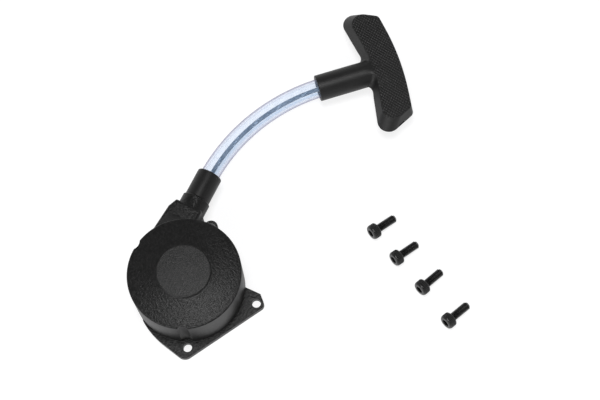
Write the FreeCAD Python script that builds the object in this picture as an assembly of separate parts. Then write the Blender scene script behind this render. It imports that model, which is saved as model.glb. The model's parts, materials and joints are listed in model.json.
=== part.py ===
"""Recoil starter of a small engine, in millimetres.

The origin is on the drum's axis, in the plane of the flange's rear face. +Z points from the
engine towards the lid, and +Y runs from mounting hole B to mounting hole C.
"""

import FreeCAD, Part

import math
import os

# Case: drum, lid and flange
DRUM_R = 20.0                       # outside of the drum
RIM_Z = 19.7                        # where the wall meets the lid
LID_DISC_R = 9.25                   # flat disc in the middle of the lid
LID_CONE_Z = 21.6
LID_DISC_Z = 21.9
RIM_ROUND = 0.5
STEP_W = 0.35                       # slope between the disc and the lid's cone
WALL = 1.6
FLANGE_T = 2.5
CAVITY_R = DRUM_R - WALL            # room for the reel
SPRING_ROOM_R = CAVITY_R - 0.4      # the wall is thicker around the spring
SPRING_STEP_Z = 13.4
CEILING_Z = RIM_Z - WALL
POST_R = 4.0                        # post under the lid that carries the reel
POST_END_Z = 11.6
AXLE_SCREW_R = 1.25
AXLE_HEAD = (2.8, 1.7)              # radius and height
AXLE_WASHER_R = (5.6, 1.6)
AXLE_WASHER_T = 0.6
BOSS_DEG = (30.0, 150.0, 270.0)     # places of the bosses that hold the back plate
PLATE_BOSS_R = 2.2
PLATE_BOSS_Z = (1.4, 8.0)
PLATE_Z = (0.4, 1.4)
PLATE_SCREW_R = 0.95
PLATE_SCREW_HEAD_R = 1.75
PLATE_SCREW_HEAD_T = 0.8

# Mounting holes, for M3 screws
HOLE_R = 1.6
HOLE_A = (18.0, -17.2)
HOLE_B = (-10.8, -19.4)
HOLE_C = (-10.8, 19.4)
HOLE_D = (17.3, 16.1)
SCALLOP_R = 3.0                     # room for a screw head beside holes B and C
EAR_R = 2.5
EAR_WEB_SPREAD = 3.0                # how much wider an ear's web is at the drum
WEB_CORNERS = ((14.0, -5.2, 0), (20.9, -14.9, 0.5), (20.2, -19.6, 1.8), (-14.0, -22.9, 3.2),
               (-19.8, -9.2, 30.0), (-20.2, -2.0, 2.0), (-15.0, 0.0, 0))

# Rope and nozzle. "t" is the distance along the nozzle's axis, "q" the offset to its left.
ROPE_Z = 9.0                        # plane of the rope, the tube and the handle
ROPE_R = 0.8
NOZZLE_DEG = 35.0
NOZZLE_Q = 11.15
NOZZLE_FOOT_T = (3.0, 8.0)          # the block and the boss start inside the drum's wall
BLOCK_T = 24.7
BLOCK_Z = (3.2, 14.3)
BLOCK_LEFT_Q = (8.55, 6.95, 5.5)    # left side: at the drum, before and after the corner
BLOCK_CORNER_T = 21.3
BLOCK_EDGE_R = 1.2
RAMP_T = (8.0, 13.0, 19.0)          # inside the drum, end of the ramp's top, foot of the ramp
BOSS_R = 5.2
BOSS_T = 29.0
BOSS_CHAMFER = 0.5
SLEEVE_T = 39.4
SLEEVE_R = 4.65
SLEEVE_ROUND = 0.6
TUBE_R = 3.5
TUBE_BORE_R = 2.5
SOCKET_R = TUBE_R + 0.05            # hole that takes the end of the tube
SOCKET_T = 22.0
GUIDE_R = 2.6
GUIDE_T = (13.6, 17.4)
GUIDE_BORE_R = 1.4
BEND_T = 37.5                       # the tube starts to bend here
BEND_R = 69.3
BEND_IN_STEM = 2.0                  # the tube is straight from here on
HANDLE_DEG = -11.9                  # direction of the handle's stem
TUBE_IN_STEM = 9.0

# Reel
REEL_R = 13.6
HUB_R = 8.2
REEL_BOTTOM_Z = 2.1
LOW_FLANGE_Z = (4.9, 5.9)
HIGH_FLANGE_Z = (12.1, 13.0)
KNOT_PLACE = (0.0, 10.2)            # of the rope's inner end, in the lower flange
KNOT_R = 1.3
THROAT_R = 6.0                      # inside of the hub, between the clutch and the web
BUSH_R = 5.0
REEL_SLEEVE_R = 6.4
REEL_TOP_Z = 17.3
SPRING_NOTCH = (3.0, 0.8, 4.0)      # takes the spring's inner end
WEB_Z = POST_END_Z + 0.1
CLUTCH_R = 7.0
CLUTCH_Z = (2.3, 9.0)
CLUTCH_LIP_T = 0.5
ROLLER_R = 0.73
ROLLER_PLAY = 0.02
ROLLER_COUNT = 12
DRIVE_R = 4.7
DRIVE_BORE_R = 2.5
DRIVE_Z = (0.6, 8.9)
DRIVE_COLLAR_R = 5.8
DRIVE_COLLAR_Z = 1.5
DRIVE_SLOT = 2.0                    # slot for the cross pin of the engine's shaft
DRIVE_SLOT_TOP_Z = 3.1

# Recoil spring
SPRING_TURNS = 9
SPRING_T = 0.3
SPRING_R = (6.75, 17.1)
SPRING_Z = (13.7, 17.4)
SPRING_PLATE_T = 0.3
CUP_T = 0.45

# Handle, in its own frame: "s" along the stem from its mouth, "w" across
STEM_R = 4.9
STEM_END_S = 24.0                   # the stem ends inside the bar
GRIP_HALF_T = 4.6
GRIP_INNER_S = 20.2                 # where the lines of the inner side cross the stem's axis
GRIP_OUTER_S = 32.1
GRIP_END_W = 35.3                   # where the line of an end crosses the plane of the mouth
ARM_SLOPE = 0.178                   # of the inner side, towards the mouth
END_SLOPE = 0.483
GRIP_LEAN = (2.2, 0.5, 1.6)         # how far the inner side, outer side and ends lean in at a face
SHOULDER_DROP = 1.7                 # of the outer side, from its middle to its ends
OUTER_ARC = (1.1, 95.0)             # rise of the arc's corner over the outer side, and its radius
TIP_ROUND = (2.0, 4.2)              # outer and inner corner of an end
NECK_ROUND = 2.8
NECK_S = 13.5                       # the bar blends into the stem from here
NECK_W = (4.6, 1.6)                 # half width of the blend in the middle plane and at a face
KNOT_POCKET_R = 3.2
KNOT_POCKET_S = 18.0
CAP_S = (29.2, 31.8)
KNOT_WASHER_T = 0.6
END_HOLE = (2.8, 1.2)               # rectangular blind hole in each end of the bar
END_HOLE_S = 25.0
END_HOLE_W = 19.0                   # bottom of the hole

# Loose M3 x 8 socket screws: x, y of the middle, and direction of the tip in degrees
LOOSE_SCREWS = ((71.7, -14.2, 7.0), (73.7, -26.8, 7.5), (76.0, -40.4, 12.5), (77.8, -55.5, 11.5))
SCREW_R = 1.5
SCREW_L = 8.0
HEAD_R = 2.75
HEAD_H = 3.0
HEX_ACROSS = 2.5

GAP = 0.05                          # clearance of a running fit


def vec(x, y, z=0.0):
    return FreeCAD.Vector(x, y, z)


def heading(degrees):
    """Unit vector in the XY plane."""
    return vec(math.cos(math.radians(degrees)), math.sin(math.radians(degrees)))


def cyl(r, z0, z1, centre=(0.0, 0.0)):
    return Part.makeCylinder(r, z1 - z0, vec(centre[0], centre[1], z0))


def ring(r_out, r_in, z0, z1, centre=(0.0, 0.0)):
    return cyl(r_out, z0, z1, centre).cut(cyl(r_in, z0 - 1.0, z1 + 1.0, centre))


def rounded_outline(corners, plane="xy"):
    """Closed wire through corners (a, b, radius), with an arc at every corner that has a radius."""
    def point(a, b):
        return vec(a, b) if plane == "xy" else vec(a, 0.0, b)
    ends = []
    count = len(corners)
    for i in range(count):
        a, b, r = corners[i]
        here = vec(a, b)
        back = (vec(*corners[i - 1][:2]) - here).normalize()
        on = (vec(*corners[(i + 1) % count][:2]) - here).normalize()
        if r == 0:
            ends.append((here, None, here))
            continue
        half = back.getAngle(on) / 2.0
        middle = here + (back + on).normalize() * (r / math.sin(half) - r)
        ends.append((here + back * (r / math.tan(half)), middle, here + on * (r / math.tan(half))))
    edges = []
    for i in range(count):
        first, middle, last = ends[i]
        if middle is not None:
            edges.append(Part.Arc(point(first.x, first.y), point(middle.x, middle.y),
                                  point(last.x, last.y)).toShape())
        following = ends[(i + 1) % count][0]
        if (following - last).Length > 1e-6:
            edges.append(Part.makeLine(point(last.x, last.y), point(following.x, following.y)))
    return Part.Wire(edges)


def prism(corners, z0, z1):
    face = Part.Face(rounded_outline(corners))
    face.translate(vec(0, 0, z0))
    return face.extrude(vec(0, 0, z1 - z0))


def turned(corners):
    """Solid of revolution about Z from corners (radius, z, rounding)."""
    return Part.Face(rounded_outline(corners, "xz")).revolve(vec(0, 0), vec(0, 0, 1), 360)


NOZZLE_DIR = heading(NOZZLE_DEG)
NOZZLE_LEFT = heading(NOZZLE_DEG + 90.0)
NOZZLE_ORIGIN = NOZZLE_LEFT * NOZZLE_Q + vec(0, 0, ROPE_Z)
BEND_START = NOZZLE_ORIGIN + NOZZLE_DIR * BEND_T
BEND_CENTRE = BEND_START - NOZZLE_LEFT * BEND_R
STEM_DIR = heading(HANDLE_DEG)
STEM_LEFT = heading(HANDLE_DEG + 90.0)
BEND_END = BEND_CENTRE + STEM_LEFT * BEND_R
STEM_MOUTH = BEND_END - STEM_DIR * BEND_IN_STEM


def on_nozzle(r, t0, t1):
    """Cylinder on the nozzle's axis."""
    return Part.makeCylinder(r, t1 - t0, NOZZLE_ORIGIN + NOZZLE_DIR * t0, NOZZLE_DIR)


def on_stem(r, s0, s1):
    """Cylinder on the axis of the handle's stem."""
    return Part.makeCylinder(r, s1 - s0, STEM_MOUTH + STEM_DIR * s0, STEM_DIR)


def into_nozzle_frame(shape):
    """Turn a shape drawn with t along X and q along Y into place."""
    shape.rotate(vec(0, 0), vec(0, 0, 1), NOZZLE_DEG)
    return shape


def into_stem_frame(shape):
    """Turn a shape drawn with s along X and w along Y into place."""
    shape.rotate(vec(0, 0), vec(0, 0, 1), HANDLE_DEG)
    shape.translate(STEM_MOUTH)
    return shape


def on_rope_path(r, t_start, s_end):
    """Round rod along the rope's path, from the nozzle through the bend into the stem."""
    start = NOZZLE_ORIGIN + NOZZLE_DIR * t_start
    half_way = BEND_CENTRE + heading((NOZZLE_DEG + HANDLE_DEG) / 2.0 + 90.0) * BEND_R
    path = Part.Wire([
        Part.makeLine(start, BEND_START),
        Part.Arc(BEND_START, half_way, BEND_END).toShape(),
        Part.makeLine(BEND_END, STEM_MOUTH + STEM_DIR * s_end),
    ])
    section = Part.Wire([Part.makeCircle(r, start, NOZZLE_DIR)])
    return path.makePipeShell([section], True, True)


# ---------------------------------------------------------------- case

def ear(centre):
    """Round ear of the flange, with a web back to the drum."""
    out = vec(*centre).normalize()
    side = vec(-out.y, out.x)
    hub = out * (DRUM_R * 0.6)
    tip = vec(*centre)
    corners = []
    wide = EAR_R + EAR_WEB_SPREAD
    for point, width in ((hub, -wide), (tip, -EAR_R), (tip, EAR_R), (hub, wide)):
        corner = point + side * width
        corners.append((corner.x, corner.y, 0))
    return prism(corners, 0.0, FLANGE_T).fuse(cyl(EAR_R, 0.0, FLANGE_T, centre))


def flange():
    """Flat flange: one wide web to holes A and B, and two small ears at C and D."""
    return prism(WEB_CORNERS, 0.0, FLANGE_T).fuse([ear(HOLE_C), ear(HOLE_D)])


def nozzle_block():
    """Shoulder between the drum and the nozzle's boss, with a ramp up to the drum's wall."""
    right_q = NOZZLE_Q - BOSS_R + 0.3
    at_drum, before, after = (NOZZLE_Q + q for q in BLOCK_LEFT_Q)
    foot_t = NOZZLE_FOOT_T[0]
    block = prism([(foot_t, right_q, 0), (BLOCK_T, right_q, 1.0), (BLOCK_T, after, 0.6),
                   (BLOCK_CORNER_T, before, 1.5), (foot_t, at_drum, 0)], *BLOCK_Z)
    top_edges = [e for e in block.Edges
                 if e.BoundBox.ZMin > BLOCK_Z[1] - 0.01 and e.BoundBox.XMax > RAMP_T[0]]
    block = block.makeFillet(BLOCK_EDGE_R, top_edges)
    foot_z, top_z = BLOCK_Z[1], RIM_Z - WALL
    ramp = Part.Face(rounded_outline([
        (RAMP_T[0], foot_z - 1.0, 0), (RAMP_T[2] + 1.0, foot_z - 1.0, 0), (RAMP_T[2], foot_z, 1.0),
        (RAMP_T[1], top_z, 0), (RAMP_T[0], top_z, 0)], "xz"))
    ramp.translate(vec(0, NOZZLE_Q + 0.5))
    ramp = ramp.extrude(vec(0, before - BLOCK_EDGE_R - NOZZLE_Q - 0.4))
    return into_nozzle_frame(block.fuse(ramp))


def nozzle_boss():
    boss = on_nozzle(BOSS_R, NOZZLE_FOOT_T[1], BOSS_T)
    mouth = NOZZLE_ORIGIN + NOZZLE_DIR * BOSS_T
    return boss.makeChamfer(BOSS_CHAMFER, [e for e in boss.Edges if e.CenterOfMass.isEqual(mouth, 0.01)])


def boss_places():
    """Centres of the three bosses that hold the back plate."""
    return [heading(a) * (CAVITY_R - 1.9) for a in BOSS_DEG]


def starter_case():
    drum = turned([(0, 0, 0), (DRUM_R, 0, 0), (DRUM_R, RIM_Z, RIM_ROUND),
                   (LID_DISC_R + STEP_W, LID_CONE_Z, 0.3), (LID_DISC_R, LID_DISC_Z, 0.12),
                   (0, LID_DISC_Z, 0)])
    case = drum.fuse([flange(), nozzle_block(), nozzle_boss()])
    case = case.cut(cyl(CAVITY_R, -1.0, SPRING_STEP_Z))
    case = case.cut(cyl(SPRING_ROOM_R, SPRING_STEP_Z - 1.0, CEILING_Z))
    case = case.cut(ring(LID_DISC_R - 0.4, POST_R + 0.6, CEILING_Z - 1.0, LID_DISC_Z - WALL))
    case = case.fuse(cyl(POST_R, POST_END_Z, CEILING_Z + 1.0))
    for place in boss_places():
        stub = cyl(PLATE_BOSS_R, *PLATE_BOSS_Z, (place.x, place.y))
        case = case.fuse(stub.common(cyl(CAVITY_R + 0.3, 0.0, PLATE_BOSS_Z[1] + 1.0)))
        case = case.cut(cyl(PLATE_SCREW_R, 0.0, PLATE_BOSS_Z[1] - 1.0, (place.x, place.y)))
    case = case.cut(cyl(AXLE_SCREW_R, POST_END_Z - 1.0, CEILING_Z))
    for hole in (HOLE_B, HOLE_C):
        case = case.cut(cyl(SCALLOP_R, FLANGE_T, LID_DISC_Z + 1.0, hole))
    for hole in (HOLE_A, HOLE_B, HOLE_C, HOLE_D):
        case = case.cut(cyl(HOLE_R, -1.0, FLANGE_T + 1.0, hole))
    case = case.cut(on_nozzle(GUIDE_R, GUIDE_T[0] - 2.6, GUIDE_T[1]))
    case = case.cut(on_nozzle(TUBE_BORE_R - 0.1, GUIDE_T[1] - 0.5, SOCKET_T + 0.5))
    case = case.cut(on_nozzle(SOCKET_R, SOCKET_T, BOSS_T + 1.0))
    return case.removeSplitter()


def back_plate():
    """Thin steel disc that closes the case around the drive sleeve."""
    plate = ring(CAVITY_R - 0.2, DRIVE_R + 0.3, *PLATE_Z)
    for place in boss_places():
        plate = plate.cut(cyl(PLATE_SCREW_R, 0.0, PLATE_Z[1] + 1.0, (place.x, place.y)))
        plate = plate.cut(countersink(place))
    return plate


def countersink(place):
    foot = vec(place.x, place.y, PLATE_Z[0])
    return Part.makeCone(PLATE_SCREW_HEAD_R, PLATE_SCREW_R, PLATE_SCREW_HEAD_T, foot)


def cross_recess(length, width, height, z):
    """Two crossed bars about the Z axis."""
    bars = []
    for turn in (0, 90):
        bar = Part.makeBox(length, width, height, vec(-length / 2.0, -width / 2.0, z))
        bar.rotate(vec(0, 0), vec(0, 0, 1), turn)
        bars.append(bar)
    return bars


def back_plate_screws():
    """Three countersunk screws with cross recesses."""
    screws = []
    for place in boss_places():
        shank_end = PLATE_BOSS_Z[1] - 2.0
        shank = cyl(PLATE_SCREW_R, PLATE_Z[0] + PLATE_SCREW_HEAD_T, shank_end, (place.x, place.y))
        tip = Part.makeCone(PLATE_SCREW_R, 0.3, 0.9, vec(place.x, place.y, shank_end))
        screw = countersink(place).fuse([shank, tip])
        for bar in cross_recess(1.8, 0.35, 0.5, PLATE_Z[0] - 0.1):
            bar.translate(vec(place.x, place.y))
            screw = screw.cut(bar)
        screws.append(screw)
    return Part.Compound(screws)


# ---------------------------------------------------------------- spring

def spring_cup():
    """Pressed steel cup that holds the recoil spring under the lid."""
    cup = cyl(SPRING_ROOM_R - GAP, SPRING_STEP_Z + 0.1, CEILING_Z - GAP)
    cup = cup.cut(cyl(SPRING_R[1] + 0.5, SPRING_STEP_Z - 1.0, CEILING_Z - CUP_T))
    return cup.cut(cyl(REEL_SLEEVE_R + 0.6, SPRING_STEP_Z, CEILING_Z + 1.0))


def spring_plate():
    """Disc between the spring and the reel."""
    return ring(CAVITY_R - 2 * GAP, REEL_SLEEVE_R + 0.5, SPRING_STEP_Z - SPRING_PLATE_T, SPRING_STEP_Z)


def spiral_edge(offset):
    """One side of the spring's strip, seen along Z."""
    steps = SPRING_TURNS * 12
    points = []
    for i in range(steps + 1):
        r = SPRING_R[0] + (SPRING_R[1] - SPRING_R[0]) * i / steps + offset
        points.append(heading(30.0 * i) * r)
    curve = Part.BSplineCurve()
    curve.interpolate(points)
    return curve.toShape(), points[0], points[-1]


def recoil_spring():
    inner, inner_first, inner_last = spiral_edge(-SPRING_T / 2.0)
    outer, outer_first, outer_last = spiral_edge(SPRING_T / 2.0)
    wire = Part.Wire([inner, Part.makeLine(inner_last, outer_last), outer,
                      Part.makeLine(outer_first, inner_first)])
    face = Part.Face(wire)
    face.translate(vec(0, 0, SPRING_Z[0]))
    return face.extrude(vec(0, 0, SPRING_Z[1] - SPRING_Z[0]))


# ---------------------------------------------------------------- reel and clutch

def rope_reel():
    reel = cyl(HUB_R, REEL_BOTTOM_Z, HIGH_FLANGE_Z[1])
    reel = reel.fuse([cyl(REEL_R, *LOW_FLANGE_Z), cyl(REEL_R, *HIGH_FLANGE_Z),
                      cyl(REEL_SLEEVE_R, LOW_FLANGE_Z[0], REEL_TOP_Z)])
    reel = reel.cut(cyl(CLUTCH_R, REEL_BOTTOM_Z - 1.0, CLUTCH_Z[1] + 0.1))
    reel = reel.cut(cyl(THROAT_R, CLUTCH_Z[1], WEB_Z))
    reel = reel.cut(cyl(BUSH_R, WEB_Z - 1.0, REEL_TOP_Z + 1.0))
    corner = vec(BUSH_R + 0.5, -SPRING_NOTCH[1] / 2.0, HIGH_FLANGE_Z[1] + 0.4)
    notch = Part.makeBox(*SPRING_NOTCH, corner)
    knot_hole = cyl(ROPE_R + 0.1, LOW_FLANGE_Z[0] - 1.0, LOW_FLANGE_Z[1] + 1.0, KNOT_PLACE)
    return reel.cut(notch).cut(knot_hole).removeSplitter()


def reel_bush():
    return ring(BUSH_R, POST_R + GAP, WEB_Z + 0.1, REEL_TOP_Z)


def axle_washer():
    return ring(*AXLE_WASHER_R, POST_END_Z - AXLE_WASHER_T, POST_END_Z)


def axle_screw():
    """Pan-head screw that holds the reel on the post."""
    head_r, head_h = AXLE_HEAD
    top = POST_END_Z - AXLE_WASHER_T
    head = cyl(head_r, top - head_h, top)
    head = head.makeFillet(0.7, [e for e in head.Edges if abs(e.BoundBox.ZMax - top + head_h) < 0.01])
    screw = head.fuse(cyl(AXLE_SCREW_R, top - 0.1, CEILING_Z - 0.5))
    return screw.cut(cross_recess(3.0, 0.5, 1.0, top - 1.8))


def clutch_shell():
    low, high = CLUTCH_Z
    shell = ring(CLUTCH_R, DRIVE_R + 2 * ROLLER_R + 2 * ROLLER_PLAY, low, high)
    lips = [ring(CLUTCH_R - 0.1, DRIVE_R + 0.5, low, low + CLUTCH_LIP_T),
            ring(CLUTCH_R - 0.1, DRIVE_R + 0.5, high - CLUTCH_LIP_T, high)]
    return shell.fuse(lips).removeSplitter()


def roller_places():
    r = DRIVE_R + ROLLER_R + ROLLER_PLAY
    return [heading(360.0 * i / ROLLER_COUNT) * r for i in range(ROLLER_COUNT)]


def clutch_cage():
    cage = ring(DRIVE_R + 2 * ROLLER_R - 0.05, DRIVE_R + 0.15, CLUTCH_Z[0] + 0.55, CLUTCH_Z[1] - 0.55)
    for place in roller_places():
        cage = cage.cut(cyl(ROLLER_R + 0.04, CLUTCH_Z[0] + 1.1, CLUTCH_Z[1] - 1.1, (place.x, place.y)))
    return cage


def clutch_rollers():
    return Part.Compound([cyl(ROLLER_R, CLUTCH_Z[0] + 1.15, CLUTCH_Z[1] - 1.15, (place.x, place.y))
                          for place in roller_places()])


def drive_sleeve():
    """Sleeve that the clutch grips, with a bore and a cross slot for the engine's shaft and pin."""
    sleeve = cyl(DRIVE_R, *DRIVE_Z).fuse(cyl(DRIVE_COLLAR_R, DRIVE_COLLAR_Z, REEL_BOTTOM_Z - 0.1))
    sleeve = sleeve.cut(cyl(DRIVE_BORE_R, 0.0, DRIVE_Z[1] + 1.0))
    slot = Part.makeBox(20.0, DRIVE_SLOT, DRIVE_SLOT_TOP_Z, vec(-10.0, -DRIVE_SLOT / 2.0, 0.0))
    return sleeve.cut(slot.common(cyl(DRIVE_R + 2.0, 0.0, DRIVE_SLOT_TOP_Z))).removeSplitter()


# ---------------------------------------------------------------- rope, tube and sleeve

def rope_coil():
    """Rope wound on the reel: two layers of three turns, each turn a closed ring."""
    pitch = 2 * ROPE_R + 0.02
    middle_z = (LOW_FLANGE_Z[1] + HIGH_FLANGE_Z[0]) / 2.0
    turns = []
    for layer in (0, 1):
        r = HUB_R + 0.02 + ROPE_R + pitch * layer
        for row in (-1, 0, 1):
            turns.append(Part.makeTorus(r, ROPE_R, vec(0, 0, middle_z + pitch * row)))
    return Part.Compound(turns)


def reel_knot():
    """Knot under the reel's lower flange that holds the rope's inner end."""
    knot = Part.makeSphere(KNOT_R, vec(*KNOT_PLACE, LOW_FLANGE_Z[0] - KNOT_R - GAP))
    return knot.fuse(cyl(ROPE_R, LOW_FLANGE_Z[0] - 1.0, LOW_FLANGE_Z[1] - GAP, KNOT_PLACE))


def rope_guide():
    """Hard eyelet where the rope leaves the case."""
    start, end = GUIDE_T
    guide = on_nozzle(GUIDE_R - 0.03, start, end - GAP)
    guide = guide.cut(on_nozzle(GUIDE_BORE_R, start - 1.0, end + 1.0))
    foot = NOZZLE_ORIGIN + NOZZLE_DIR * start
    return guide.cut(Part.makeCone(GUIDE_R - 0.3, GUIDE_BORE_R, 1.0, foot, NOZZLE_DIR))


def tube_sleeve():
    sleeve = on_nozzle(SLEEVE_R, BOSS_T + GAP, SLEEVE_T)
    mouth_centre = NOZZLE_ORIGIN + NOZZLE_DIR * SLEEVE_T
    mouth_edges = [e for e in sleeve.Edges if e.CenterOfMass.isEqual(mouth_centre, 0.01)]
    sleeve = sleeve.makeFillet(SLEEVE_ROUND, mouth_edges)
    return sleeve.cut(on_nozzle(SOCKET_R, BOSS_T - 1.0, SLEEVE_T + 1.0))


def guide_tube():
    outside = on_rope_path(TUBE_R, SOCKET_T + 0.2, TUBE_IN_STEM)
    return outside.cut(on_rope_path(TUBE_BORE_R, SOCKET_T - 1.0, TUBE_IN_STEM + 1.0))


def rope_run():
    """Rope from the edge of the reel through the nozzle and the tube."""
    return on_rope_path(ROPE_R, 7.4, TUBE_IN_STEM - 0.05)


# ---------------------------------------------------------------- handle

def grip_outline(lean_in, lean_out, lean_end, neck_w):
    """Closed wire of the T bar and its neck, drawn in at its inner side, its outer side and its ends."""
    inner, outer, end = GRIP_INNER_S + lean_in, GRIP_OUTER_S - lean_out, GRIP_END_W - lean_end
    tip_s = (inner - ARM_SLOPE * end) / (1.0 - ARM_SLOPE * END_SLOPE)
    shoulder_s = outer - SHOULDER_DROP
    arm = [(shoulder_s, end - END_SLOPE * shoulder_s, TIP_ROUND[0]),
           (tip_s, end - END_SLOPE * tip_s, TIP_ROUND[1]),
           (inner - ARM_SLOPE * neck_w, neck_w, NECK_ROUND),
           (NECK_S + lean_in, neck_w, 0)]
    other_arm = [(s, -w, r) for s, w, r in reversed(arm)]
    rise, radius = OUTER_ARC
    return rounded_outline(arm + other_arm + [(outer + rise, 0.0, radius)])


def grip_half(sign):
    """Half of the T bar, from the middle plane to one face."""
    middle = grip_outline(0.0, 0.0, 0.0, NECK_W[0])
    face = grip_outline(*GRIP_LEAN, NECK_W[1])
    face.translate(vec(0, 0, sign * GRIP_HALF_T))
    return Part.makeLoft([middle, face], True, True)


def handle_grip():
    """T handle with a hollow stem for the tube, a rope hole and a pocket for the knot."""
    grip = into_stem_frame(grip_half(1.0).fuse(grip_half(-1.0)))
    grip = grip.fuse(on_stem(STEM_R, 0.0, STEM_END_S))
    width, height = END_HOLE
    for side in (-1.0, 1.0):
        hole = Part.makeBox(width, END_HOLE_W, height, vec(-width / 2.0, 0, -height / 2.0))
        hole.translate(vec(END_HOLE_S, END_HOLE_W if side > 0 else -2.0 * END_HOLE_W))
        grip = grip.cut(into_stem_frame(hole))
    grip = grip.cut(on_stem(SOCKET_R, -1.0, TUBE_IN_STEM + 0.3))
    grip = grip.cut(on_stem(ROPE_R + 0.3, TUBE_IN_STEM, KNOT_POCKET_S + 1.0))
    return grip.cut(on_stem(KNOT_POCKET_R, KNOT_POCKET_S, GRIP_OUTER_S + 8.0)).removeSplitter()


def handle_cap():
    """Plug that closes the knot's pocket at the back of the bar."""
    return on_stem(KNOT_POCKET_R, *CAP_S)


def knot_washer():
    washer = on_stem(KNOT_POCKET_R - 0.1, KNOT_POCKET_S, KNOT_POCKET_S + KNOT_WASHER_T)
    return washer.cut(on_stem(ROPE_R + 0.2, KNOT_POCKET_S - 1.0, KNOT_POCKET_S + 2.0))


def rope_tail():
    """Last stretch of the rope, from the tube's end to the knot."""
    return on_stem(ROPE_R, TUBE_IN_STEM, KNOT_POCKET_S + KNOT_WASHER_T + 0.1)


def rope_knot():
    centre = STEM_MOUTH + STEM_DIR * (KNOT_POCKET_S + KNOT_WASHER_T + 2.0)
    knot = Part.makeSphere(1.9, centre)
    return knot.fuse(Part.makeTorus(1.3, 1.1, centre, STEM_DIR))


# ---------------------------------------------------------------- loose screws

def socket_screw():
    """M3 socket screw along X: the shank from 0 to its length, the head behind."""
    head = Part.makeCylinder(HEAD_R, HEAD_H, vec(-HEAD_H, 0, 0), vec(1, 0, 0))
    head = head.makeFillet(0.35, [e for e in head.Edges if abs(e.BoundBox.XMax + HEAD_H) < 0.01])
    shank = Part.makeCylinder(SCREW_R, SCREW_L - 0.5, vec(0, 0, 0), vec(1, 0, 0))
    tip = Part.makeCone(SCREW_R, SCREW_R - 0.4, 0.5, vec(SCREW_L - 0.5, 0, 0), vec(1, 0, 0))
    hexagon = [vec(-HEAD_H - 0.1, *(HEX_ACROSS / math.sqrt(3.0) * c for c in
                                    (math.cos(math.radians(60 * i)), math.sin(math.radians(60 * i)))))
               for i in range(6)]
    socket = Part.Face(Part.makePolygon(hexagon + hexagon[:1])).extrude(vec(1.4, 0, 0))
    return head.fuse([shank, tip]).cut(socket)


def mounting_screws():
    """Four screws lying beside the starter, each on its head's rim and its tip."""
    tilt = math.degrees(math.atan((HEAD_R - SCREW_R) / SCREW_L))
    middle = (SCREW_L - HEAD_H) / 2.0
    screws = []
    for x, y, direction in LOOSE_SCREWS:
        screw = socket_screw()
        screw.rotate(vec(0, 0), vec(0, 1, 0), tilt)
        screw.translate(vec(-middle, 0, HEAD_R * math.cos(math.radians(tilt))))
        screw.rotate(vec(0, 0), vec(0, 0, 1), direction)
        screw.translate(vec(x, y))
        screw.translate(vec(0, 0, -screw.BoundBox.ZMin))
        screws.append(screw)
    return Part.Compound(screws)


NODES = (
    starter_case, back_plate, back_plate_screws, spring_cup, spring_plate, recoil_spring,
    rope_reel, reel_bush, axle_washer, axle_screw, clutch_shell, clutch_cage, clutch_rollers,
    drive_sleeve, rope_coil, reel_knot, rope_guide, tube_sleeve, guide_tube, rope_run,
    handle_grip, handle_cap, knot_washer, rope_tail, rope_knot, mounting_screws,
)

os.makedirs("parts", exist_ok=True)
for build in NODES:
    build().exportStep("parts/" + build.__name__ + ".step")
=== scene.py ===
"""Looks of the recoil starter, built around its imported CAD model. Lengths are in metres."""

import json
import math

import bpy
import numpy as np
from mathutils import Matrix, Quaternion, Vector


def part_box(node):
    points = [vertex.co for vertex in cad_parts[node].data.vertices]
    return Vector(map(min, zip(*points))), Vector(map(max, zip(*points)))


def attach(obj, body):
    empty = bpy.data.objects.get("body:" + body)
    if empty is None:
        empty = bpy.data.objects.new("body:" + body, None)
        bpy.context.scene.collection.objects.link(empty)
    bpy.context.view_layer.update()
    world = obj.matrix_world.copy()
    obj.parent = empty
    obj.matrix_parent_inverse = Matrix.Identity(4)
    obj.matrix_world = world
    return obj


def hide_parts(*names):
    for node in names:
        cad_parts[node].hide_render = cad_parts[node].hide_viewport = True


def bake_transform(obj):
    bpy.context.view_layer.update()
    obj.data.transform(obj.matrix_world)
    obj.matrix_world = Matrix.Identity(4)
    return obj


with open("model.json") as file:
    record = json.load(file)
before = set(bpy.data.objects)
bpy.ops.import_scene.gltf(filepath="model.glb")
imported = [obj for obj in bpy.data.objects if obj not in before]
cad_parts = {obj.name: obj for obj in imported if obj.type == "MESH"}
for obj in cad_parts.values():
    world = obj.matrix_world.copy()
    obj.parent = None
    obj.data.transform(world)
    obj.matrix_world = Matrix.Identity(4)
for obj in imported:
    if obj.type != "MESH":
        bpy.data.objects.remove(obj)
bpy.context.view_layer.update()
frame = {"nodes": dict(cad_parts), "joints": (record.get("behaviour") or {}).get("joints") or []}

MM = 0.001
WELD_GAP = 0.001 * MM
NODES = frame["nodes"]


# ---------------------------------------------------------------- places, from the frame

def points(node):
    """A CAD node's vertices as an array."""
    mesh = NODES[node].data
    co = np.zeros(len(mesh.vertices) * 3)
    mesh.vertices.foreach_get("co", co)
    return co.reshape(-1, 3)


def middle(node):
    low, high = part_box(node)
    return np.array((low + high) / 2)


def reach(node, axis):
    """Lowest and highest place of a node along an axis."""
    along = points(node) @ axis
    return along.min(), along.max()


def unit(v):
    v = np.array(v, float)
    return v / np.linalg.norm(v)


def smooth_step(x, start, end):
    t = np.clip((x - start) / (end - start), 0, 1)
    return t * t * (3 - 2 * t)


def band(x, start, start_full, end_full, end):
    """Rises from 0 to 1 between the first two places, and falls back between the last two."""
    return smooth_step(x, start, start_full) * (1 - smooth_step(x, end_full, end))


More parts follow.
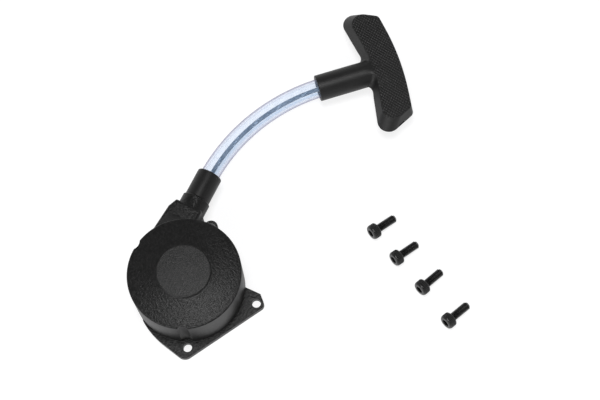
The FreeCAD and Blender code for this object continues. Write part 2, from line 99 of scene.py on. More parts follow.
UP = np.array([0.0, 0.0, 1.0])
PULL = next(j for j in frame["joints"] if j["name"] == "handle_pull")
PULL_LENGTH = max(PULL["range_m"])
STEM = unit(PULL["axis"])
STEM_LEFT = np.cross(UP, STEM)
ON_STEM = middle("rope_tail")
STEM_MOUTH = ON_STEM + STEM * (reach("handle_grip", STEM)[0] - ON_STEM @ STEM)
TAIL_S = reach("rope_tail", STEM) - STEM_MOUTH @ STEM

BEND_IN_STEM = 2.0 * MM
NOZZLE_ANGLE = math.radians(35.0)
NOZZLE = np.array([math.cos(NOZZLE_ANGLE), math.sin(NOZZLE_ANGLE), 0.0])
NOZZLE_LEFT = np.cross(UP, NOZZLE)
ON_NOZZLE = middle("rope_guide")
TURN = math.acos(float(NOZZLE @ STEM))
BEND_END = STEM_MOUTH + STEM * BEND_IN_STEM
BEND_R = float((BEND_END - ON_NOZZLE) @ -NOZZLE_LEFT) / (1 - math.cos(TURN))
BEND_CENTRE = BEND_END - STEM_LEFT * BEND_R
BEND_START = BEND_CENTRE + NOZZLE_LEFT * BEND_R
BEND_LENGTH = BEND_R * TURN
MOUTH_U = BEND_LENGTH - BEND_IN_STEM
TUBE_END_U = MOUTH_U + TAIL_S[0]
FLOOR_Z = min(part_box(n)[0].z for n in NODES)
LID_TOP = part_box("starter_case")[1].z
CASE_POINTS = points("starter_case")
DISC_R = np.linalg.norm(CASE_POINTS[CASE_POINTS[:, 2] > LID_TOP - 0.05 * MM][:, :2], axis=1).max()
TUBE_R, TUBE_BORE_R = 3.5 * MM, 2.5 * MM
ROPE_R = (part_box("rope_tail")[1].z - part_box("rope_tail")[0].z) / 2
BRAID_LENGTH = 2.6 * MM


def path(u):
    """Places, directions and left sides of the tube's middle line, u metres after the bend's start."""
    u = np.asarray(u, float)[:, None]
    angle = NOZZLE_ANGLE - np.clip(u, 0, BEND_LENGTH) / BEND_R
    ahead = np.hstack([np.cos(angle), np.sin(angle), 0 * angle])
    left = np.hstack([-np.sin(angle), np.cos(angle), 0 * angle])
    place = BEND_CENTRE + left * BEND_R + ahead * (np.minimum(u, 0) + np.maximum(u - BEND_LENGTH, 0))
    return place, ahead, left


def path_reach(node, ahead, from_point, from_u):
    """Lowest and highest u of a node that lies on a straight part of the path."""
    return reach(node, ahead) - from_point @ ahead + from_u


# ---------------------------------------------------------------- meshes

def make_object(name, mesh):
    made = bpy.data.objects.new(name, mesh)
    bpy.context.scene.collection.objects.link(made)
    return made


def grid_mesh(name, rows, closed=False):
    """Smooth mesh from rows of points that each go round once; the rows' ends are capped or joined."""
    rows = np.asarray(rows)
    count, around = rows.shape[:2]
    index = np.arange(count * around).reshape(count, around)
    here, after = (index, np.roll(index, -1, axis=0)) if closed else (index[:-1], index[1:])
    quads = np.stack([here, np.roll(here, -1, axis=1), np.roll(after, -1, axis=1), after], axis=-1)
    faces = quads.reshape(-1, 4).tolist()
    places = rows.reshape(-1, 3)
    if not closed:
        places = np.vstack([places, rows[0].mean(0), rows[-1].mean(0)])
        first, last = count * around, count * around + 1
        for j in range(around):
            k = (j + 1) % around
            faces.append([int(index[0, k]), int(index[0, j]), first])
            faces.append([int(index[-1, j]), int(index[-1, k]), last])
    mesh = bpy.data.meshes.new(name)
    mesh.from_pydata(places.tolist(), [], faces)
    mesh.polygons.foreach_set("use_smooth", [True] * len(mesh.polygons))
    return mesh


def swept_rows(u, radius, sway=0.0):
    """Rows of points round the path. radius has one row per u; sway moves the middle to the left."""
    place, ahead, left = path(u)
    turns = np.linspace(0, 2 * np.pi, radius.shape[1], endpoint=False)[None, :, None]
    centre = place + left * np.reshape(sway * np.ones(len(u)), (-1, 1))
    out = np.cos(turns) * left[:, None, :] + np.sin(turns) * UP
    return centre[:, None, :] + radius[:, :, None] * out


def braid(u, around):
    """Radius and strand colour of a round braided rope, with four strands each way that cross."""
    strands, roundness, height, weave = 4, 0.6, 0.8, 0.2
    groove, relief = 0.86, 0.17
    pale, middling, dark = 1.0, 0.35, 0.0
    turns = np.linspace(0, 2 * np.pi, around, endpoint=False)[None, :]
    along = (np.asarray(u) * 2 * np.pi / BRAID_LENGTH)[:, None]
    right_hand, left_hand = strands * turns + along, strands * turns - along
    over = weave * np.sin(strands * turns) * np.sin(along)
    one = np.abs(np.cos(right_hand / 2)) ** roundness * (height + over)
    two = np.abs(np.cos(left_hand / 2)) ** roundness * (height - over)
    radius = ROPE_R * (groove + relief * np.maximum(one, two))
    fleck = (np.floor((right_hand + np.pi) / (2 * np.pi)) % strands == 0) & (one > two)
    return radius, np.where(fleck, pale, np.where(one > two, middling, dark))


def paint(mesh, name, values):
    """A value per vertex, padded with zeros for the end caps."""
    values = np.concatenate([np.ravel(values), np.zeros(len(mesh.vertices) - np.size(values))])
    mesh.attributes.new(name, "FLOAT", "POINT").data.foreach_set("value", values.astype(np.float32))


# ---------------------------------------------------------------- materials

class Shader:
    """A material's node tree with short calls for the nodes used here."""

    def __init__(self, name):
        self.material = bpy.data.materials.new(name)
        self.material.use_nodes = True
        self.tree = self.material.node_tree
        self.surface = self.tree.nodes["Principled BSDF"]
        self.output = self.tree.nodes["Material Output"]

    def add(self, kind, settings=(), **inputs):
        node = self.tree.nodes.new(kind)
        for key, value in dict(settings).items():
            setattr(node, key, value)
        for key, value in inputs.items():
            self.put(node, key.replace("_", " "), value)
        return node

    def put(self, node, socket, value):
        target = node.inputs[socket]
        if isinstance(value, bpy.types.NodeSocket):
            self.tree.links.new(value, target)
        else:
            target.default_value = value

    def set(self, **values):
        for key, value in values.items():
            self.put(self.surface, key.replace("_", " "), value)

    def math(self, operation, *values):
        node = self.add("ShaderNodeMath", {"operation": operation})
        for i, value in enumerate(values):
            self.put(node, i, value)
        return node.outputs[0]

    def span(self, value, low, high, to_low=0.0, to_high=1.0):
        """A value mapped from one range to another, and held at its ends."""
        node = self.add("ShaderNodeMapRange")
        for i, v in enumerate((value, low, high, to_low, to_high)):
            self.put(node, i, v)
        return node.outputs[0]

    def place(self):
        return self.add("ShaderNodeTexCoord").outputs["Object"]

    def noise(self, size, detail=2.0, rough=0.55, place=None):
        node = self.add("ShaderNodeTexNoise", Scale=1.0 / size, Detail=detail, Roughness=rough)
        self.put(node, "Vector", place or self.place())
        return node.outputs["Fac"]

    def blend(self, amount, dark, light):
        node = self.add("ShaderNodeMix", {"data_type": "RGBA"})
        self.put(node, 0, amount)
        self.put(node, 6, dark if isinstance(dark, bpy.types.NodeSocket) else (*dark, 1))
        self.put(node, 7, light if isinstance(light, bpy.types.NodeSocket) else (*light, 1))
        return node.outputs[2]

    def bump(self, height, depth, round_edges=0.0):
        node = self.add("ShaderNodeBump", Strength=1.0, Distance=depth, Height=height)
        if round_edges:
            edges = self.add("ShaderNodeBevel", {"samples": 4}, Radius=round_edges)
            self.put(node, "Normal", edges.outputs[0])
        self.set(Normal=node.outputs[0])


def grey(level):
    return (level, level, level)


def case_plastic():
    """Black moulded plastic: coarse grain on upward faces, a finer disc on the lid, smoother walls."""
    coarse_size, fine_size, patch_size = 0.85 * MM, 0.35 * MM, 2.5 * MM
    grain_depth, edge_round = 0.19 * MM, 0.25 * MM
    fine_on_ring, fine_on_disc, fine_on_walls = 0.26, 0.6, 0.06
    s = Shader("case_plastic")
    x_y_z = s.add("ShaderNodeSeparateXYZ", Vector=s.place()).outputs
    radius = s.math("SQRT", s.math("ADD", s.math("MULTIPLY", x_y_z[0], x_y_z[0]),
                                   s.math("MULTIPLY", x_y_z[1], x_y_z[1])))
    facing = s.add("ShaderNodeSeparateXYZ", Vector=s.add("ShaderNodeNewGeometry").outputs["True Normal"])
    top = s.span(facing.outputs[2], 0.5, 0.9)
    disc = s.math("MULTIPLY", s.span(radius, DISC_R, DISC_R - 0.2 * MM),
                  s.span(x_y_z[2], LID_TOP - 0.2 * MM, LID_TOP - 0.1 * MM))
    coarse = s.noise(coarse_size, 3.0, 0.62)
    fine = s.noise(fine_size, 2.0)
    ring = s.math("MULTIPLY", top, s.math("SUBTRACT", 1.0, disc))
    ring_grain = s.math("MULTIPLY", s.math("ADD", coarse, s.math("MULTIPLY", fine, fine_on_ring)), ring)
    disc_grain = s.math("MULTIPLY", s.math("MULTIPLY", fine, fine_on_disc), disc)
    wall_grain = s.math("MULTIPLY", fine, fine_on_walls)
    s.bump(s.math("ADD", ring_grain, s.math("ADD", disc_grain, wall_grain)), grain_depth, edge_round)
    base = s.blend(s.span(coarse, 0.42, 0.62), grey(0.0005), grey(0.006))
    base = s.blend(top, s.blend(s.noise(patch_size, 3.0), grey(0.005), grey(0.012)), base)
    s.set(Base_Color=s.blend(disc, base, s.blend(s.span(fine, 0.35, 0.65), grey(0.004), grey(0.024))))
    rough = s.span(top, 0.0, 1.0, 0.38, 0.32)
    s.put(s.surface, "Roughness", s.math("ADD", rough, s.math("MULTIPLY", fine, 0.08)))
    s.put(s.surface, "Specular IOR Level", s.span(top, 0.0, 1.0, 0.20, 0.30))
    return s.material


def grip_plastic():
    """Black plastic of the handle, a little lighter in wide, faint patches."""
    s = Shader("grip_plastic")
    fine, wide = s.noise(0.28 * MM, 2.0), s.noise(6.0 * MM, 3.0)
    s.bump(fine, 0.03 * MM)
    s.set(Base_Color=s.blend(s.span(wide, 0.3, 0.7), grey(0.003), grey(0.006)))
    s.put(s.surface, "Roughness", s.span(fine, 0.2, 0.8, 0.40, 0.54))
    s.put(s.surface, "Specular IOR Level", 0.37)
    return s.material


def plain_surface(name, dark, light, rough, metal=0.0, grain=0.3 * MM, depth=0.015 * MM, stretch=(1, 1, 1),
                  specular=0.5, round_edges=0.0):
    """A surface whose colour, gloss and relief vary with two noises; stretch draws the grain out."""
    s = Shader(name)
    place = s.add("ShaderNodeMapping", Scale=stretch, Vector=s.place()).outputs[0]
    fine, wide = s.noise(grain, 3.0, place=place), s.noise(3.0 * MM, 3.0)
    mixed = s.math("ADD", s.math("MULTIPLY", fine, 0.5), s.math("MULTIPLY", wide, 0.5))
    s.bump(fine, depth, round_edges)
    s.set(Base_Color=s.blend(s.span(mixed, 0.3, 0.7), dark, light), Metallic=metal)
    s.put(s.surface, "Roughness", s.span(mixed, 0.25, 0.75, rough * 0.8, rough * 1.2))
    s.put(s.surface, "Specular IOR Level", specular)
    return s.material


def clear_tube():
    """Clear, faintly milky and bluish plastic, seen through in the middle. Painted shade darkens its edges to
    lavender and grey in place of the wall's refraction, and a painted refracted image of the rope lies on the
    wall beside the rope.
    """
    milk_size, painted_rope_image_size, roughness = 2.5 * MM, 1.2 * MM, 0.12
    # colours of the surface and of what is seen through it: the middle's own tint, the painted edge shade,
    # and the painted refracted image of the rope
    surface_middle, surface_painted_edge_shade, surface_painted_rope_image = (0.62, 0.72, 0.88), (0.36, 0.34, 0.44), (0.20, 0.30, 0.42)
    through_middle, through_painted_edge_shade, through_painted_rope_image = (0.965, 0.98, 1.0), (0.84, 0.84, 0.91), (0.62, 0.74, 0.88)
    s = Shader("clear_tube")
    milk = s.noise(milk_size, 1.0)
    outer = s.add("ShaderNodeAttribute", {"attribute_name": "outer"}).outputs["Fac"]
    facing = s.add("ShaderNodeLayerWeight", Blend=0.5).outputs["Facing"]
    # painted edge shade: darker lavender-grey where the surface turns away from the view, strongest on the
    # outer surface, in place of the wall's refraction
    painted_edge_shade = s.math("MULTIPLY", s.span(facing, 0.28, 0.66), s.span(outer, 0.0, 1.0, 0.22, 1.0))
    # painted refracted image of the rope: a blotchy blue band on the inner wall beside the rope
    painted_rope_image = s.math("MULTIPLY", s.add("ShaderNodeAttribute", {"attribute_name": "painted_rope_image"}).outputs["Fac"],
                  s.span(s.noise(painted_rope_image_size, 2.0), 0.2, 0.6, 0.55, 1.0))
    tint = s.blend(painted_edge_shade, surface_middle, surface_painted_edge_shade)
    s.set(Base_Color=s.blend(painted_rope_image, tint, surface_painted_rope_image), Roughness=roughness)
    s.put(s.surface, "Specular IOR Level", 0.5)
    clear = s.add("ShaderNodeBsdfTransparent")
    seen_through = s.blend(painted_edge_shade, through_middle, through_painted_edge_shade)
    s.put(clear, "Color", s.blend(painted_rope_image, seen_through, through_painted_rope_image))
    # the painted edge shade also makes the edges more solid
    solid = s.math("ADD", s.span(milk, 0.35, 0.65, 0.04, 0.11), s.math("MULTIPLY", painted_edge_shade, 0.55))
    shadow_ray = s.add("ShaderNodeLightPath").outputs["Is Shadow Ray"]
    solid = s.math("MULTIPLY", solid, s.math("SUBTRACT", 1.0, s.math("MULTIPLY", shadow_ray, 0.8)))
    mixed = s.add("ShaderNodeMixShader")
    s.put(mixed, 0, solid)
    s.put(mixed, 1, clear.outputs[0])
    s.put(mixed, 2, s.surface.outputs[0])
    s.put(s.output, "Surface", mixed.outputs[0])
    return s.material


def rope_fibre():
    """Steel-blue braided cord with pale flecks; the strands come from the mesh's own colours."""
    dark_strand, pale_strand, between_fibres = (0.075, 0.13, 0.20), (0.34, 0.44, 0.56), (0.03, 0.05, 0.08)
    fibre_size, fibre_depth, roughness = 0.12 * MM, 0.03 * MM, 0.7
    s = Shader("rope_fibre")
    strand = s.add("ShaderNodeAttribute", {"attribute_name": "strand"}).outputs["Fac"]
    fibre = s.noise(fibre_size, 2.0)
    tint = s.blend(strand, dark_strand, pale_strand)
    s.set(Base_Color=s.blend(s.span(fibre, 0.3, 0.7, 0.0, 0.35), tint, between_fibres), Roughness=roughness)
    s.bump(fibre, fibre_depth)
    s.put(s.surface, "Sheen Weight", 0.2)
    return s.material


def make_materials():
    """The four special materials, and the plain surfaces with their own looks, by the record's slot."""
    steel, dark_steel, bright_steel = (0.42, 0.43, 0.44), (0.30, 0.31, 0.32), (0.56, 0.56, 0.56)
    plain = {
        "sleeve_rubber": dict(dark=grey(0.003), light=grey(0.005), rough=0.44,
                              grain=0.5 * MM, specular=0.35, round_edges=0.2 * MM),
        "reel_plastic": dict(dark=(0.62, 0.60, 0.53), light=(0.72, 0.70, 0.63), rough=0.42),
        "plate_steel": dict(dark=dark_steel, light=steel, rough=0.34, metal=1.0,
                            grain=0.2 * MM, depth=0.004 * MM, stretch=(1, 12, 1), round_edges=0.1 * MM),
        "spring_steel": dict(dark=(0.16, 0.18, 0.22), light=(0.30, 0.32, 0.36), rough=0.28, metal=1.0,
                             grain=0.2 * MM, depth=0.004 * MM),
        "clutch_steel": dict(dark=steel, light=bright_steel, rough=0.2, metal=1.0,
                             grain=0.15 * MM, depth=0.002 * MM, stretch=(1, 1, 8), round_edges=0.08 * MM),
        "cage_plastic": dict(dark=(0.30, 0.18, 0.07), light=(0.40, 0.25, 0.11), rough=0.45),
        "bush_bronze": dict(dark=(0.42, 0.26, 0.10), light=(0.55, 0.36, 0.16), rough=0.35, metal=1.0,
                            grain=0.15 * MM, depth=0.01 * MM),
        "screw_black": dict(dark=grey(0.003), light=grey(0.009), rough=0.30, metal=0.1,
                            grain=0.12 * MM, depth=0.006 * MM),
    }
    special = {"case_plastic": case_plastic(), "grip_plastic": grip_plastic(),
               "clear_tube": clear_tube(), "rope_fibre": rope_fibre()}
    return special | {name: plain_surface(name, **look) for name, look in plain.items()}


MATERIALS = make_materials()
NODE_SLOTS = {
    "case_plastic": ("starter_case",),
    "plate_steel": ("back_plate", "spring_cup", "spring_plate", "axle_washer", "knot_washer"),
    "screw_black": ("back_plate_screws", "axle_screw", "mounting_screws"),
    "spring_steel": ("recoil_spring",),
    "reel_plastic": ("rope_reel",),
    "bush_bronze": ("reel_bush", "rope_guide"),
    "clutch_steel": ("clutch_shell", "clutch_rollers", "drive_sleeve"),
    "cage_plastic": ("clutch_cage",),
    "rope_fibre": ("rope_coil", "reel_knot", "rope_run", "rope_tail", "rope_knot"),
    "sleeve_rubber": ("tube_sleeve",),
    "clear_tube": ("guide_tube",),
    "grip_plastic": ("handle_grip", "handle_cap"),
}


def dress(obj, slot):
    obj.data.materials.clear()
    obj.data.materials.append(MATERIALS[slot])


def dress_nodes():
    """Material, joined faces and split edges for every CAD node."""
    for slot, nodes in NODE_SLOTS.items():
        for name in nodes:
            node = NODES[name]
            dress(node, slot)
            node.data.polygons.foreach_set("use_smooth", [True] * len(node.data.polygons))
            weld = node.modifiers.new("weld", "WELD")
            weld.merge_threshold = WELD_GAP
            split = node.modifiers.new("split", "EDGE_SPLIT")
            split.split_angle = math.radians(32.0)


def finish_piece(obj, slot, body, *nodes):
    """Material, body and the CAD nodes a new piece stands for."""
    dress(obj, slot)
    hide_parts(*nodes)
    if body:
        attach(obj, body)


# ---------------------------------------------------------------- tube and rope

def make_tube():
    """Hollow tube along the path, with rounded lips; the inner wall beside the rope carries a painted
    refracted image of the rope.
    """
    behind_sleeve, lip_r, sides, steps = 6.8 * MM, 0.15 * MM, 64, 140
    # the angle round the inner wall where the painted refracted image of the rope lies, and its half width
    painted_rope_image_angle, painted_rope_image_half_width = math.radians(249.0), math.radians(24.0)
    start = path_reach("tube_sleeve", NOZZLE, BEND_START, 0.0)[0] - behind_sleeve
    along = np.linspace(start + lip_r, TUBE_END_U - lip_r, steps)
    u = np.concatenate([[start], along, [TUBE_END_U]])
    lip = np.where((u == start) | (u == TUBE_END_U), lip_r, 0.0)[:, None] * np.ones((1, sides))
    outside = swept_rows(u, TUBE_R - lip)
    inside = swept_rows(u, TUBE_BORE_R + lip)
    mesh = grid_mesh("guide_tube_clear", np.vstack([outside, inside[::-1]]), True)
    tube = make_object("guide_tube_clear", mesh)
    paint(mesh, "outer", np.repeat([1.0, 0.0], len(u) * sides))
    turns = np.linspace(0, 2 * np.pi, sides, endpoint=False)
    painted_rope_image_band = np.clip(1 - np.abs(turns - painted_rope_image_angle) / painted_rope_image_half_width, 0, 1)
    paint(mesh, "painted_rope_image", np.vstack([np.zeros((len(u), sides)), np.tile(painted_rope_image_band, (len(u), 1))]))
    finish_piece(tube, "clear_tube", "housing", "guide_tube")


def make_rope_run():
    """Braided rope from the reel through the tube, lying against the inner side of the bend."""
    step, sides, sway = 0.14 * MM, 32, 0.35 * MM
    start = path_reach("rope_run", NOZZLE, BEND_START, 0.0)[0]
    u = np.arange(start, TUBE_END_U, step)
    radius, strand = braid(u, sides)
    in_bend = band(u, -16.0 * MM, -2.0 * MM, MOUTH_U + 1.0 * MM, TUBE_END_U - 0.5 * MM)
    rows = swept_rows(u, radius, -sway * in_bend)
    rope = make_object("rope_run_braided", grid_mesh("rope_run_braided", rows))
    paint(rope.data, "strand", strand)
    finish_piece(rope, "rope_fibre", "housing", "rope_run")


def make_rope_tail():
    """Braided rope that comes out of the tube as the handle is pulled; its braid is even when fully out."""
    step, sides, samples = 0.16 * MM, 28, 40001
    start, end = TAIL_S[0] - 0.8 * MM, TAIL_S[1] - 0.4 * MM
    hold = STEM_MOUTH + STEM * start
    length = end - start
    rest = np.linspace(0, length, samples)
    pulled = rest + smooth_step(rest, 0, length) * PULL_LENGTH
    along = np.arange(0, pulled[-1], step)
    x = np.interp(along, pulled, rest)
    radius, strand = braid(along, sides)
    turns = np.linspace(0, 2 * np.pi, sides, endpoint=False)[None, :, None]
    out = np.cos(turns) * STEM_LEFT + np.sin(turns) * UP
    rows = (hold + STEM * x[:, None])[:, None, :] + radius[:, :, None] * out
    rope = make_object("rope_tail_braided", grid_mesh("rope_tail_braided", rows))
    paint(rope.data, "strand", strand)
    finish_piece(rope, "rope_fibre", None, "rope_tail")
    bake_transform(rope)


# ---------------------------------------------------------------- handle

def mesh_smoothing(mesh, co, amount, rounds):
    """Moves each point towards its neighbours' middle, by its own amount, a number of times."""
    edges = np.zeros(len(mesh.edges) * 2, int)
    mesh.edges.foreach_get("vertices", edges)
    a, b = edges.reshape(-1, 2).T
    count = (np.bincount(a, minlength=len(co)) + np.bincount(b, minlength=len(co)))[:, None]
    for _ in range(rounds):
        total = np.zeros_like(co)
        for k in range(3):
            total[:, k] = np.bincount(a, co[b, k], len(co)) + np.bincount(b, co[a, k], len(co))
        co += amount[:, None] * (total / count - co)
    return co


def soften_neck(mesh, co):
    """Lowers the stem's crown to the bar's faces and rounds the corner between stem and bar."""
    bar_half_mm, crown_rise_mm, bore_r, amount, rounds = 4.6, 0.35, 4.0 * MM, 0.6, 28
    along, across = (co - STEM_MOUTH) @ STEM, (co - STEM_MOUTH) @ STEM_LEFT
    height = co[:, 2] - STEM_MOUTH[2]
    limit = (bar_half_mm + crown_rise_mm * (1 - smooth_step(along, 17.5 * MM, 21.5 * MM))) * MM
    co = co.copy()
    co[:, 2] = STEM_MOUTH[2] + np.clip(height, -limit, limit)
    at_corner = band(along, 13.5 * MM, 16.5 * MM, 21.0 * MM, 23.5 * MM)
    near_stem = 1 - smooth_step(np.abs(across), 7.5 * MM, 10.0 * MM)
    outside_bore = np.hypot(across, height) > bore_r
    return mesh_smoothing(mesh, co, amount * at_corner * near_stem * outside_bore, rounds)


def press_pattern(co, normal):
    """Presses a diamond pattern into the bar's two faces, but not into the stem's crown."""
    pitch, depth, steepness, groove_shape = 1.2 * MM, 0.30 * MM, 0.8, 0.6
    bar_start = 17.0 * MM
    along, across = (co - STEM_MOUTH) @ STEM, (co - STEM_MOUTH) @ STEM_LEFT
    high = np.abs(co[:, 2] - STEM_MOUTH[2])
    face = smooth_step(high, 4.40 * MM, 4.52 * MM) * smooth_step(np.abs(normal[:, 2]), 0.93, 0.99)
    crown = 1 - smooth_step(np.abs(across), 2.6 * MM, 4.6 * MM)
    face = face * (1 - crown * (1 - smooth_step(along, 20.5 * MM, 22.5 * MM))) * (along > bar_start)
    one = np.abs(np.cos(np.pi * (along + steepness * across) / pitch))
    two = np.abs(np.cos(np.pi * (along - steepness * across) / pitch))
    grooves = 1 - np.minimum(one, two) ** groove_shape
    return co - normal * (depth * grooves * face)[:, None]


def make_handle():
    """The CAD grip with soft moulded edges and a fine diamond pattern pressed into both faces."""
    voxel, smooth_factor, smooth_rounds = 0.19 * MM, 0.5, 6
    rough = make_object("grip_work", NODES["handle_grip"].data.copy())
    weld = rough.modifiers.new("weld", "WELD")
    weld.merge_threshold = WELD_GAP
    remesh = rough.modifiers.new("remesh", "REMESH")
    remesh.mode = "VOXEL"
    remesh.voxel_size = voxel
    smooth = rough.modifiers.new("smooth", "SMOOTH")
    smooth.factor, smooth.iterations = smooth_factor, smooth_rounds
    mesh = bpy.data.meshes.new_from_object(rough.evaluated_get(bpy.context.evaluated_depsgraph_get()))
    bpy.data.objects.remove(rough)
    count = len(mesh.vertices)
    co, normal = np.zeros(count * 3), np.zeros(count * 3)
    mesh.vertices.foreach_get("co", co)
    mesh.vertex_normals.foreach_get("vector", normal)
    co = press_pattern(soften_neck(mesh, co.reshape(-1, 3)), normal.reshape(-1, 3))
    mesh.vertices.foreach_set("co", co.astype(np.float32).ravel())
    mesh.polygons.foreach_set("use_smooth", [True] * len(mesh.polygons))
    mesh.update()
    grip = make_object("handle_grip_moulded", mesh)
    finish_piece(grip, "grip_plastic", "handle", "handle_grip")


# ---------------------------------------------------------------- loose screws

SCREW_LENGTH = 8.0 * MM


def thread_rows(turns, shank_r, pitch, depth):
    """Rows of a screw thread that starts a little past the head and ends a little before the tip."""
    first, end, rows_per_pitch = 0.5 * MM, SCREW_LENGTH - 0.4 * MM, 8
    rows = []
    for x in np.arange(first, end, pitch / rows_per_pitch):
        wave = np.abs(((turns / (2 * np.pi) - x / pitch) % 1.0) * 2 - 1)
        start = min(1.0, (x - 0.4 * MM) / (0.4 * MM))
        rows.append((x, shank_r - depth * start * np.clip(wave * 1.3 - 0.15, 0, 1)))
    return rows


def screw_mesh():
    """M3 socket screw along X: threaded shank from 0 to its length, rounded and knurled head behind."""
    shank_r, head_r, head_length, socket_r, socket_depth = (v * MM for v in (1.5, 2.75, 3.0, 1.25, 1.5))
    edge_r, knurls, knurl_depth, thread_pitch, thread_depth = 0.6 * MM, 36, 0.10 * MM, 0.5 * MM, 0.29 * MM
    socket_floor = socket_depth - head_length
    turns = np.linspace(0, 2 * np.pi, 144, endpoint=False)
    ones = np.ones(len(turns))
    knurled = head_r - knurl_depth * np.abs(np.sin(turns * knurls / 2))
    hexagon = socket_r / np.cos((turns + np.pi / 6) % (np.pi / 3) - np.pi / 6)
    rows = [(socket_floor + 0.05 * MM, 0.05 * MM * ones), (socket_floor - 0.1 * MM, hexagon * 0.98),
            (0.1 * MM - head_length, hexagon), (-head_length, hexagon + 0.06 * MM),
            (-head_length, 2.0 * MM * ones)]
    for turn in np.radians([15, 35, 55, 75]):
        x = edge_r * (1 - math.cos(turn)) - head_length
        rows.append((x, (2.05 * MM + edge_r * math.sin(turn)) * ones))
    rows += [(x, knurled) for x in np.linspace(-2.3 * MM, -0.35 * MM, 7)]
    rows += [(-0.12 * MM, 2.62 * MM * ones), (0.0, 2.5 * MM * ones), (0.0, 1.6 * MM * ones),
             (0.1 * MM, shank_r * ones), (0.45 * MM, shank_r * ones)]
    rows += thread_rows(turns, shank_r, thread_pitch, thread_depth)
    rows += [(SCREW_LENGTH - 0.05 * MM, 1.1 * MM * ones), (SCREW_LENGTH, 1.0 * MM * ones),
             (SCREW_LENGTH, 0.05 * MM * ones)]
    grid = [np.stack([x + 0 * r, r * np.cos(turns), r * np.sin(turns)], axis=1) for x, r in rows]
    mesh = grid_mesh("socket_screw", grid)
    mesh.set_sharp_from_angle(angle=math.radians(38.0))
    return mesh


def islands(node):
    """Triangle corners and areas of each separate body in a CAD node."""
    mesh = NODES[node].data
    co = points(node)
    mesh.calc_loop_triangles()
    tris = np.zeros(len(mesh.loop_triangles) * 3, int)
    mesh.loop_triangles.foreach_get("vertices", tris)
    tris = tris.reshape(-1, 3)
    _, same = np.unique(np.round(co / WELD_GAP), axis=0, return_inverse=True)
    tris_same = same.reshape(-1)[tris]
    label = np.arange(same.max() + 1)
    changed = True
    while changed:
        lowest = label[tris_same].min(axis=1)
        updated = label.copy()
        for k in range(3):
            np.minimum.at(updated, tris_same[:, k], lowest)
        updated = updated[updated]
        changed = not np.array_equal(updated, label)
        label = updated
    groups = label[tris_same[:, 0]]
    corners = co[tris]
    area = np.linalg.norm(np.cross(corners[:, 1] - corners[:, 0], corners[:, 2] - corners[:, 0]), axis=1) / 2
    return [(corners[groups == g], area[groups == g]) for g in np.unique(groups)]


def make_screws():
    """A detailed screw in the place of each CAD screw, pointing the same way."""
    wider_than_shank = 2.2 * MM
    mesh = screw_mesh()
    for number, (corners, area) in enumerate(islands("mounting_screws"), 1):
        middles = corners.mean(axis=1)
        centre = (middles * area[:, None]).sum(0) / area.sum()
        spread = (middles - centre).T @ ((middles - centre) * area[:, None])
        axis = np.linalg.eigh(spread)[1][:, -1]
        flat = corners.reshape(-1, 3) - centre
        along = flat @ axis
        wide = np.linalg.norm(flat - along[:, None] * axis, axis=1)
        if along[wide > wider_than_shank].mean() > 0:
            axis, along = -axis, -along
        across = unit(np.cross(UP, axis))
        lift = np.cross(axis, across)
        origin = centre + axis * (along.max() - SCREW_LENGTH)
        screw = make_object(f"mounting_screw_{number}", mesh)
        screw.matrix_world = Matrix([(*row, place) for row, place in
                                     zip(np.stack([axis, across, lift], axis=1), origin)] + [(0, 0, 0, 1)])
        finish_piece(screw, "screw_black", "loose_screws", "mounting_screws")


# ---------------------------------------------------------------- stage

def make_floor():
    """White bench just under the object, which a camera below it sees through."""
    half, gap, glow = 3.0, 0.02 * MM, 0.76
    mesh = bpy.data.meshes.new("floor")
    corners = [(-half, -half, 0), (half, -half, 0), (half, half, 0), (-half, half, 0)]
    mesh.from_pydata(corners, [], [(0, 1, 2, 3)])
    floor = make_object("floor", mesh)
    floor.location.z = FLOOR_Z - gap
    s = Shader("floor_white")
    s.set(Base_Color=(0.33, 0.33, 0.335, 1), Roughness=0.8)
    s.put(s.surface, "Specular IOR Level", 0.1)
    s.put(s.surface, "Emission Color", (1, 1, 1, 1))
    s.put(s.surface, "Emission Strength", glow)
    behind = s.add("ShaderNodeNewGeometry").outputs["Backfacing"]
    seen = s.add("ShaderNodeMixShader")
    for i, value in enumerate((behind, s.surface.outputs[0], s.add("ShaderNodeBsdfTransparent").outputs[0])):
        s.put(seen, i, value)
    s.put(s.output, "Surface", seen.outputs[0])
    mesh.materials.append(s.material)


def area_light(name, place, target, size, watts):
    data = bpy.data.lights.new(name, "AREA")
    data.shape = "RECTANGLE"
    data.size, data.size_y = size
    data.energy = watts
    light = make_object(name, data)
    light.location = place
    light.rotation_euler = (Vector(target) - Vector(place)).to_track_quat("-Z", "Y").to_euler()


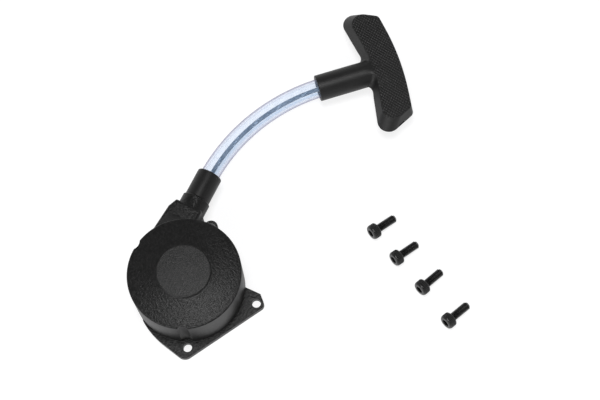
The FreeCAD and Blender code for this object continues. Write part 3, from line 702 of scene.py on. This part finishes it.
def make_world():
    """Studio that lights less from straight above, and that the camera sees as white."""
    fade_start, fade_end, low_strength, high_strength = 0.40, 0.85, 0.75, 0.05
    world = bpy.data.worlds.new("studio")
    world.use_nodes = True
    tree = world.node_tree
    direction = tree.nodes.new("ShaderNodeTexCoord")
    parts = tree.nodes.new("ShaderNodeSeparateXYZ")
    tree.links.new(direction.outputs["Generated"], parts.inputs[0])
    fade = tree.nodes.new("ShaderNodeMapRange")
    for i, value in enumerate((fade_start, fade_end, low_strength, high_strength), 1):
        fade.inputs[i].default_value = value
    tree.links.new(parts.outputs[2], fade.inputs[0])
    seen = tree.nodes.new("ShaderNodeMath")
    seen.operation = "MAXIMUM"
    tree.links.new(fade.outputs[0], seen.inputs[0])
    tree.links.new(tree.nodes.new("ShaderNodeLightPath").outputs["Is Camera Ray"], seen.inputs[1])
    tree.links.new(seen.outputs[0], tree.nodes["Background"].inputs["Strength"])
    tree.nodes["Background"].inputs["Color"].default_value = (1, 1, 1, 1)
    bpy.context.scene.world = world


def make_lights():
    """Two soft lamps: one overhead, and a larger, weaker one from the side."""
    target = (0.045, 0.0, 0.0)
    area_light("key", (0.02, -0.02, 0.80), target, (0.24, 0.24), 3.4)
    area_light("fill", (-0.60, -0.30, 0.35), target, (0.5, 0.3), 2.0)


def make_camera():
    """Camera half a metre away that looks down at the starter, turned a little about its own axis."""
    aim, distance = Vector((50.8, 10.0, 0.0)) * MM, 513 * MM
    heading, elevation, roll = math.radians(24.26), math.radians(70.32), math.radians(-5.1)
    forward = Vector((math.sin(heading) * math.cos(elevation), math.cos(heading) * math.cos(elevation),
                      -math.sin(elevation)))
    data = bpy.data.cameras.new("camera")
    data.sensor_width = 36.0
    data.lens = 84.0
    data.clip_start, data.clip_end = 0.01, 20.0
    camera = make_object("camera", data)
    camera.location = aim - forward * distance
    camera.rotation_mode = "QUATERNION"
    camera.rotation_quaternion = forward.to_track_quat("-Z", "Y") @ Quaternion((0, 0, 1), roll)
    bpy.context.scene.camera = camera


dress_nodes()
make_tube()
make_rope_run()
make_rope_tail()
make_handle()
make_screws()
make_floor()
make_world()
make_lights()
make_camera()
bpy.context.scene.view_settings.view_transform = "Standard"
